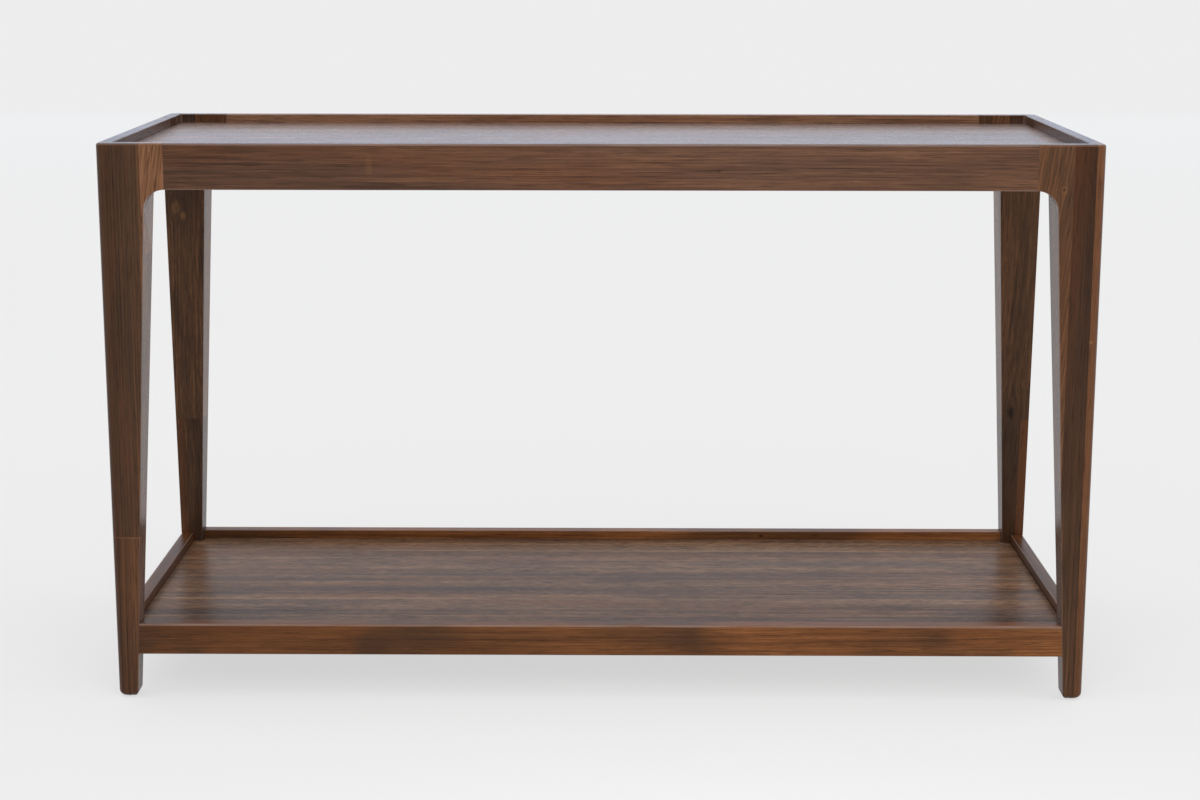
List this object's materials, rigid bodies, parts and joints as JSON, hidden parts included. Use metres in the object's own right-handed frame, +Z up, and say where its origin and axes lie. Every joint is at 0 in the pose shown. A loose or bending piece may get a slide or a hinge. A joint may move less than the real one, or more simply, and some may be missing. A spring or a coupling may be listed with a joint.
{
  "type": "sofa table",
  "caption": "Long narrow walnut sofa table with a lipped tray top on tapered, eared legs, and a lipped tray shelf near the floor.",
  "frame": {"origin": "on the floor below the middle of the table", "axes": "+X along the table, to the right seen from the front; +Y from front to back; +Z up"},
  "size_m": [1.321, 0.457, 0.762],
  "materials": {
    "leg_walnut": "satin lacquer, grain upright",
    "rail_walnut": "satin lacquer, grain lengthwise",
    "panel_walnut": "satin lacquer, grain lengthwise",
    "batten_wood": "bare planed wood",
    "dowel_beech": "bare wood",
    "screw_steel": "zinc plated",
    "glide_nylon": "matt"
  },
  "bodies": {
    "root": {"apron_back": "rail_walnut", "apron_dowels": "dowel_beech", "apron_front": "rail_walnut", "apron_left": "rail_walnut", "apron_right": "rail_walnut", "glide_back_left": "glide_nylon", "glide_back_right": "glide_nylon", "glide_front_left": "glide_nylon", "glide_front_right": "glide_nylon", "leg_back_left": "leg_walnut", "leg_back_right": "leg_walnut", "leg_front_left": "leg_walnut", "leg_front_right": "leg_walnut", "shelf_brace": "batten_wood", "shelf_cleat_back": "batten_wood", "shelf_cleat_front": "batten_wood", "shelf_cleat_left": "batten_wood", "shelf_cleat_right": "batten_wood", "shelf_cleat_screws": "screw_steel", "shelf_dowels": "dowel_beech", "shelf_panel": "panel_walnut", "shelf_panel_screws": "screw_steel", "shelf_rail_back": "rail_walnut", "shelf_rail_front": "rail_walnut", "shelf_rail_left": "rail_walnut", "shelf_rail_right": "rail_walnut", "top_brace": "batten_wood", "top_cleat_back": "batten_wood", "top_cleat_front": "batten_wood", "top_cleat_left": "batten_wood", "top_cleat_right": "batten_wood", "top_cleat_screws": "screw_steel", "top_panel": "panel_walnut", "top_panel_screws": "screw_steel"}
  },
  "joints": []
}
